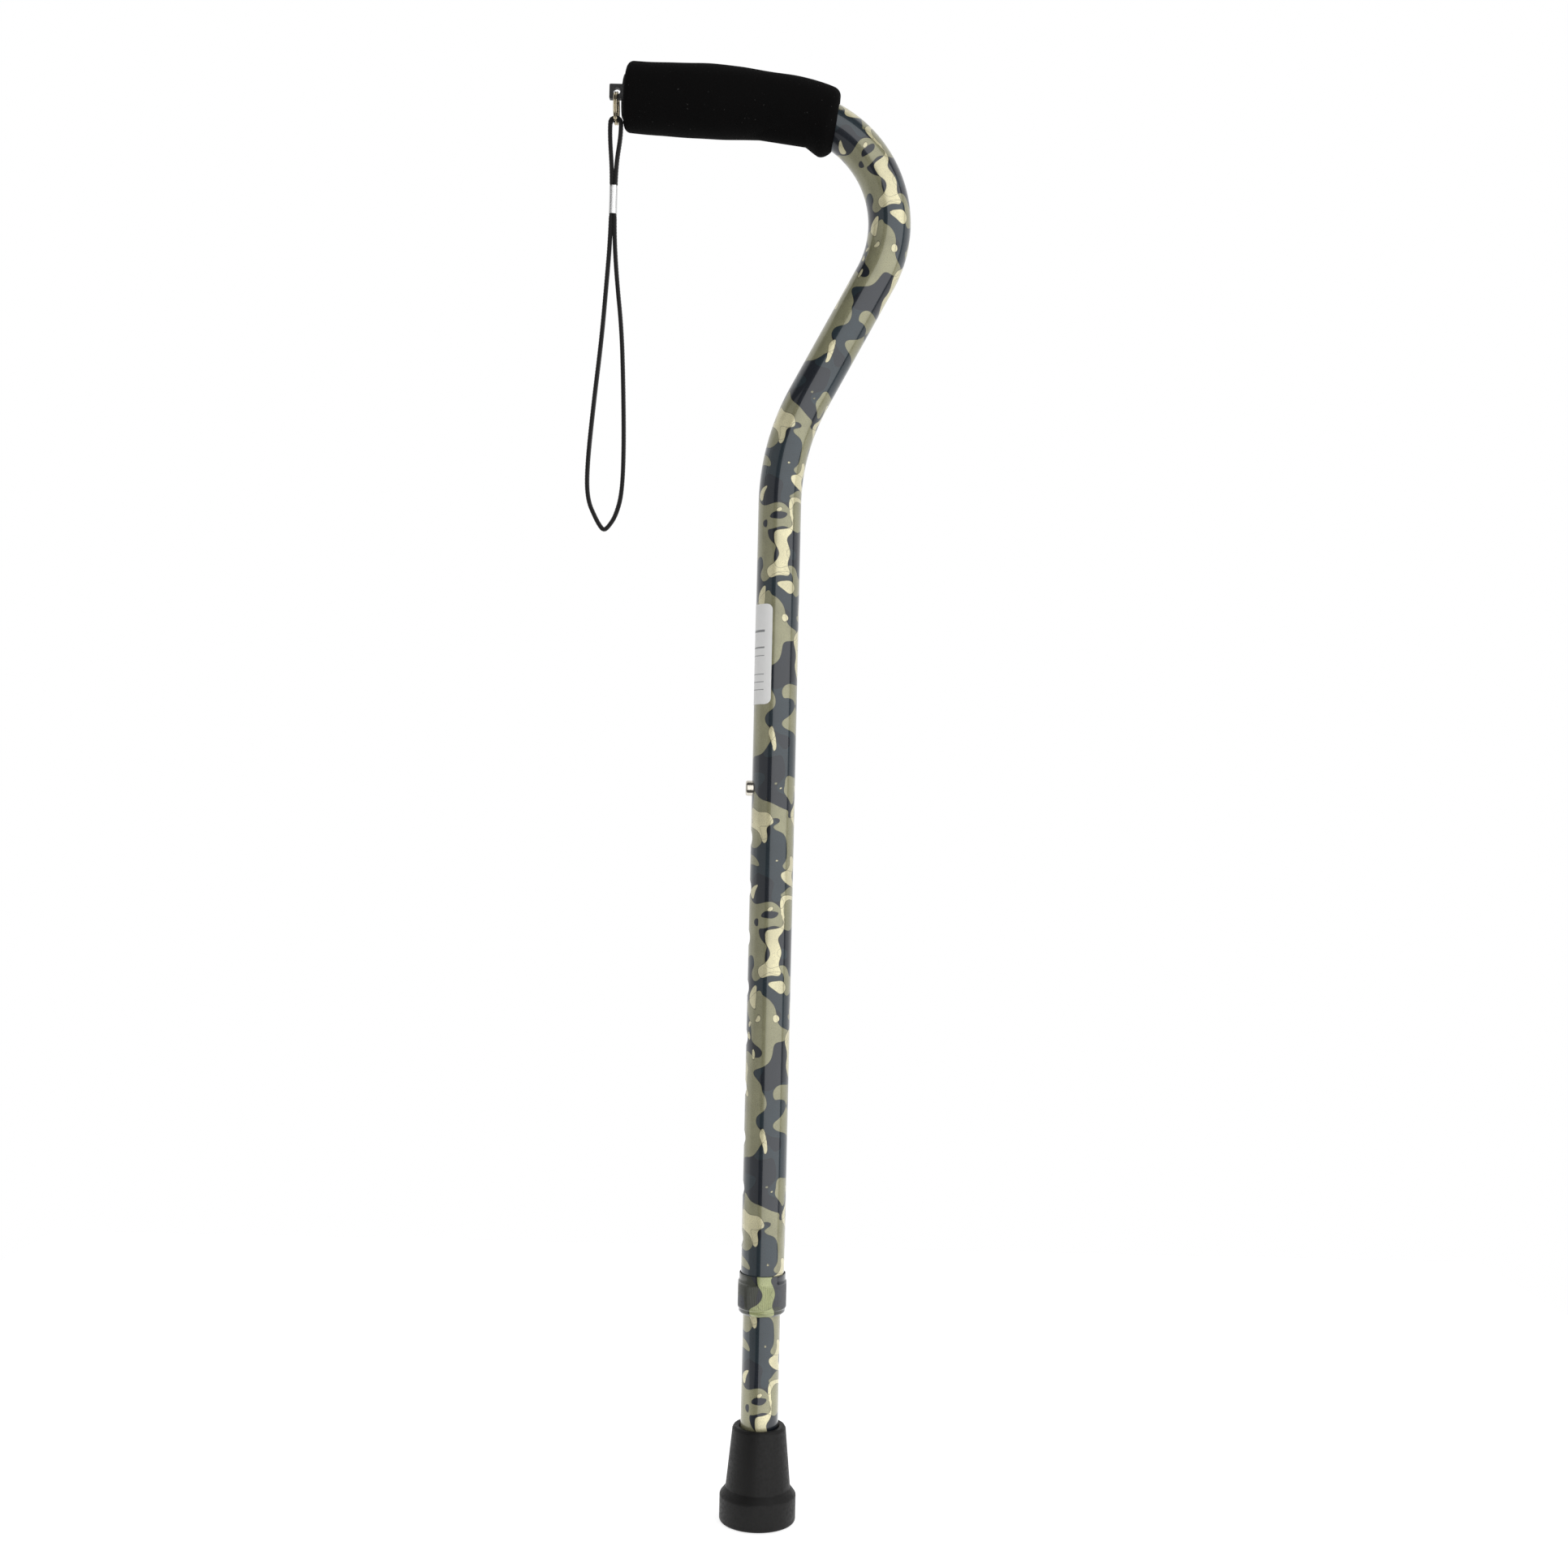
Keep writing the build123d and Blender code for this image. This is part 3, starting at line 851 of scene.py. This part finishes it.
def make_collar():
    """A ring nut: fine upright ribs on its side, a plain lip above, a rounded bottom."""
    corners = (
        (INNER_RADIUS + 0.25, 106.0), (INNER_RADIUS + 0.25, COLLAR_BOTTOM),
        (10.6, COLLAR_BOTTOM), (11.85, 105.3), (11.95, 106.9), (COLLAR_RADIUS, RIBS_FROM),
        (COLLAR_RADIUS, RIBS_TO), (LIP_RADIUS + 0.05, 121.3), (LIP_RADIUS, COLLAR_TOP),
        (MOUTH_RADIUS, COLLAR_TOP), (MOUTH_RADIUS, 118.5),
    )
    radii = (0, 0.3, 0.8, 0.9, 0.2, 0.25, 0.4, 0.5, 0.2, 0.15, 0)
    profile = [tuple(p) for p in rounded(corners, radii, 4)]
    tall = []
    for (r0, z0), (r1, z1) in zip(profile, profile[1:]):
        steps = max(1, int(math.hypot(r1 - r0, z1 - z0) / COLLAR_STEP))
        tall += [(r0 + (r1 - r0) * k / steps, z0 + (z1 - z0) * k / steps) for k in range(steps)]
    tall.append(profile[-1])
    segments = RIB_COUNT * POINTS_PER_RIB
    points = np.array(lathe_points(tall, segments))
    radius = np.hypot(points[:, 0], points[:, 1])
    ribs = (radius > LIP_RADIUS + 0.2) & (points[:, 2] > RIBS_FROM) & (points[:, 2] < RIBS_TO)
    angle = np.arctan2(points[:, 1], points[:, 0])
    groove = (0.5 - 0.5 * np.cos(angle * RIB_COUNT)) ** 2 * RIB_DEPTH
    from_end = np.minimum(points[:, 2] - RIBS_FROM, RIBS_TO - points[:, 2])
    edge = np.clip(from_end / RIB_RUN_OUT, 0, 1)
    shrink = np.where(ribs, 1 - groove * edge / radius, 1.0)
    points[:, 0] *= shrink
    points[:, 1] *= shrink
    piece = make_mesh("ribbed_collar", points, grid_faces(len(tall), segments), collar_film, 50)
    return piece, np.arctan2(points[:, 0], -points[:, 1]) * TUBE_RADIUS, points[:, 2]


COLLAR_PRINT_SHIFT = 150.0
collar, around, height = make_collar()
paint(collar, around, COLLAR_PRINT_SHIFT - height)
stand_for(collar, "locking_collar", "collar")

# ------------------------------------------------------------------ split ring

LUG_X = -89.2
WIRE_RADIUS = 0.53
RING_TOP = 728.4
RING_START_ANGLE = 200.0
CROSSOVER = 0.05         # the share of the wire's length in which it steps over
TIP_THICKNESS = 0.55     # of the wire, at its cut ends


def make_ring():
    """Two turns of one wire side by side, with a step where the turns cross over."""
    middle = (RING_TOP + RING_BOTTOM) / 2
    coil = (RING_TOP - RING_BOTTOM) / 2
    turns, wire_points = 240, 14
    start = math.radians(RING_START_ANGLE)
    points = []
    for i in range(turns + 1):
        t = i / turns
        angle = start + 4 * math.pi * t
        step = min(1.0, max(0.0, (t - 0.5) / CROSSOVER + 0.5))
        x = LUG_X + (step * step * (3 - 2 * step) - 0.5) * 2 * WIRE_RADIUS
        y, z = math.sin(angle), math.cos(angle)
        taper = min(1.0, TIP_THICKNESS + min(t, 1 - t) * 60)
        for j in range(wire_points):
            a = 2 * math.pi * j / wire_points
            out = coil + WIRE_RADIUS * taper * math.cos(a)
            points.append((x + WIRE_RADIUS * taper * math.sin(a), out * y, middle + out * z))
    faces = grid_faces(turns + 1, wire_points)
    first = tuple(range(wire_points))
    last = tuple(turns * wire_points + j for j in range(wire_points))
    return make_mesh("two_turn_ring", points, faces + [first[::-1], last], ring_metal, 50)


stand_for(make_ring(), "split_ring", "ring")

# ------------------------------------------------------------------ snap button

BUTTON_RADIUS = 3.9
BUTTON_PROUD = 3.2
FLANGE_RADIUS = 4.7
FLANGE_FROM, FLANGE_TO = 6.2, 6.7
AXIS_GAP = 0.02          # keeps the dome's middle from closing to one point


def make_button():
    """A pressed stud with a shallow dome, rounded rim and a flange inside the tube."""
    top = TUBE_RADIUS + BUTTON_PROUD
    corners = (
        (FLANGE_RADIUS, FLANGE_FROM), (FLANGE_RADIUS, FLANGE_TO), (BUTTON_RADIUS, FLANGE_TO),
        (BUTTON_RADIUS, top - 0.25), (2.6, top), (AXIS_GAP, top + 0.03),
    )
    radii = (0, 0.15, 0.1, 0.9, 1.5, 0)
    profile = [(AXIS_GAP, FLANGE_FROM)] + [tuple(p) for p in rounded(corners, radii, 6)]
    points = [(-z, y, BUTTON_HEIGHT + x) for x, y, z in lathe_points(profile, 64)]
    faces = grid_faces(len(profile), 64)
    return make_mesh("domed_button", points, faces, button_metal, 50)


stand_for(make_button(), "snap_button", "button")

# ------------------------------------------------------------------ label

LABEL_BOTTOM, LABEL_TOP = 412.6, 463.8
LABEL_FIRST, LABEL_LAST = 12.0, 216.0
LABEL_CORNER = 3.2
LABEL_RADIUS = 11.12
# The grey rules: height, half thickness and length
RULES = ((450.0, 0.45, 12.0), (441.5, 0.3, 17.0), (437.5, 0.3, 15.0), (428.0, 0.3, 16.0),
         (424.0, 0.3, 13.0), (420.0, 0.3, 17.0))
RULE_MARGIN = 4.0


def make_label():
    """A blank paper sticker with rounded corners and a few plain grey rules."""
    rows, columns = 131, 101
    width = math.radians(LABEL_LAST - LABEL_FIRST) * LABEL_RADIUS
    height = LABEL_TOP - LABEL_BOTTOM
    points, ink = [], []
    for i in range(rows):
        v = height * i / (rows - 1)
        inset = 0.0
        near = min(v, height - v)
        if near < LABEL_CORNER:
            inset = LABEL_CORNER - math.sqrt(LABEL_CORNER**2 - (LABEL_CORNER - near) ** 2)
        for j in range(columns):
            u = inset + (width - 2 * inset) * j / (columns - 1)
            angle = math.radians(LABEL_FIRST) + u / LABEL_RADIUS
            x, y = -math.sin(angle), -math.cos(angle)
            points.append((LABEL_RADIUS * x, LABEL_RADIUS * y, LABEL_BOTTOM + v))
            on_rule = any(
                abs(LABEL_BOTTOM + v - z) < half and RULE_MARGIN < u < RULE_MARGIN + long
                for z, half, long in RULES
            )
            ink.append(1.0 if on_rule else 0.0)
    faces = grid_faces(rows, columns, closed=False)
    piece = make_mesh("blank_label", points, [f[::-1] for f in faces], label_paper, 60)
    attribute = piece.data.attributes.new("ink", "FLOAT", "POINT")
    attribute.data.foreach_set("value", ink)
    return piece


stand_for(make_label(), "label", "upper_section")

# ------------------------------------------------------------------ CAD nodes that stay

CAD_FINISHES = {
    "end_cap": black_plastic,
    "threaded_bushing": nylon,
    "clamp_ring": nylon,
    "button_spring": spring_steel,
    "tip_washer": washer_steel,
}
for node_name, finish in CAD_FINISHES.items():
    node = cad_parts[node_name]
    node.data.materials.clear()
    node.data.materials.append(finish)

# ------------------------------------------------------------------ stage and light


def plane_object(name, corners, material):
    mesh = bpy.data.meshes.new(name)
    mesh.from_pydata([tuple(Vector(c) * MM) for c in corners], [], [(0, 1, 2, 3)])
    mesh.materials.append(material)
    add_object(name, mesh)


def floor_finish():
    """A pale floor, lit a little from below like a light table."""
    n = Nodes("floor_paint")
    n.color(n.mix(n.noise(3, 2), rgb("d4d4d4"), rgb("dadada")))
    n.set(Specular_IOR_Level=0.0, Emission_Color=(1.0, 1.0, 1.0, 1.0), Emission_Strength=0.7)
    n.roughness(0.9)
    return n.material


FLOOR_SIDE, FLOOR_FRONT, FLOOR_BACK = 600.0, -90.0, 600.0
plane_object(
    "floor",
    (
        (-FLOOR_SIDE, FLOOR_FRONT, 0),
        (FLOOR_SIDE, FLOOR_FRONT, 0),
        (FLOOR_SIDE, FLOOR_BACK, 0),
        (-FLOOR_SIDE, FLOOR_BACK, 0),
    ),
    floor_finish(),
)


def add_panel_light(name, azimuth, distance, size, power, height):
    """An upright softbox that faces the cane, placed by its bearing from -Y towards +X."""
    data = bpy.data.lights.new(name, "AREA")
    data.shape = "RECTANGLE"
    data.size, data.size_y = size[0] * MM, size[1] * MM
    data.energy = power
    light = bpy.data.objects.new(name, data)
    bearing = math.radians(azimuth)
    place = Vector((distance * math.sin(bearing), -distance * math.cos(bearing), height))
    aim = Vector((0, 0, height)) - place
    light.location = place * MM
    light.rotation_euler = aim.to_track_quat("-Z", "Y").to_euler()
    bpy.context.collection.objects.link(light)


add_panel_light(
    "key_softbox", azimuth=34.0, distance=1400.0, size=(2850.0, 2800.0), power=37.0, height=800.0
)
add_panel_light(
    "fill_softbox", azimuth=-62.0, distance=1700.0, size=(1900.0, 2200.0), power=5.5, height=600.0
)


def make_world(seen, behind, before):
    """White all round to the camera. As light it is a bright wall behind the cane, which its
    edges mirror, and a dim room in front."""
    world = bpy.data.worlds.new("studio")
    world.use_nodes = True
    tree = world.node_tree
    background = tree.nodes["Background"]
    background.inputs["Color"].default_value = (1.0, 1.0, 1.0, 1.0)
    split = tree.nodes.new("ShaderNodeSeparateXYZ")
    direction = tree.nodes.new("ShaderNodeTexCoord").outputs["Generated"]
    tree.links.new(direction, split.inputs["Vector"])
    room = tree.nodes.new("ShaderNodeMapRange")
    limits = {"From Min": -0.05, "From Max": 0.05, "To Min": before, "To Max": behind}
    for socket, value in limits.items():
        room.inputs[socket].default_value = value
    tree.links.new(split.outputs["Y"], room.inputs["Value"])
    ray = tree.nodes.new("ShaderNodeLightPath")
    strength = tree.nodes.new("ShaderNodeMapRange")
    strength.inputs["To Max"].default_value = seen
    tree.links.new(room.outputs["Result"], strength.inputs["To Min"])
    tree.links.new(ray.outputs["Is Camera Ray"], strength.inputs["Value"])
    tree.links.new(strength.outputs["Result"], background.inputs["Strength"])
    return world


bpy.context.scene.world = make_world(seen=1.0, behind=0.8, before=0.1)
bpy.context.scene.view_settings.view_transform = "Standard"
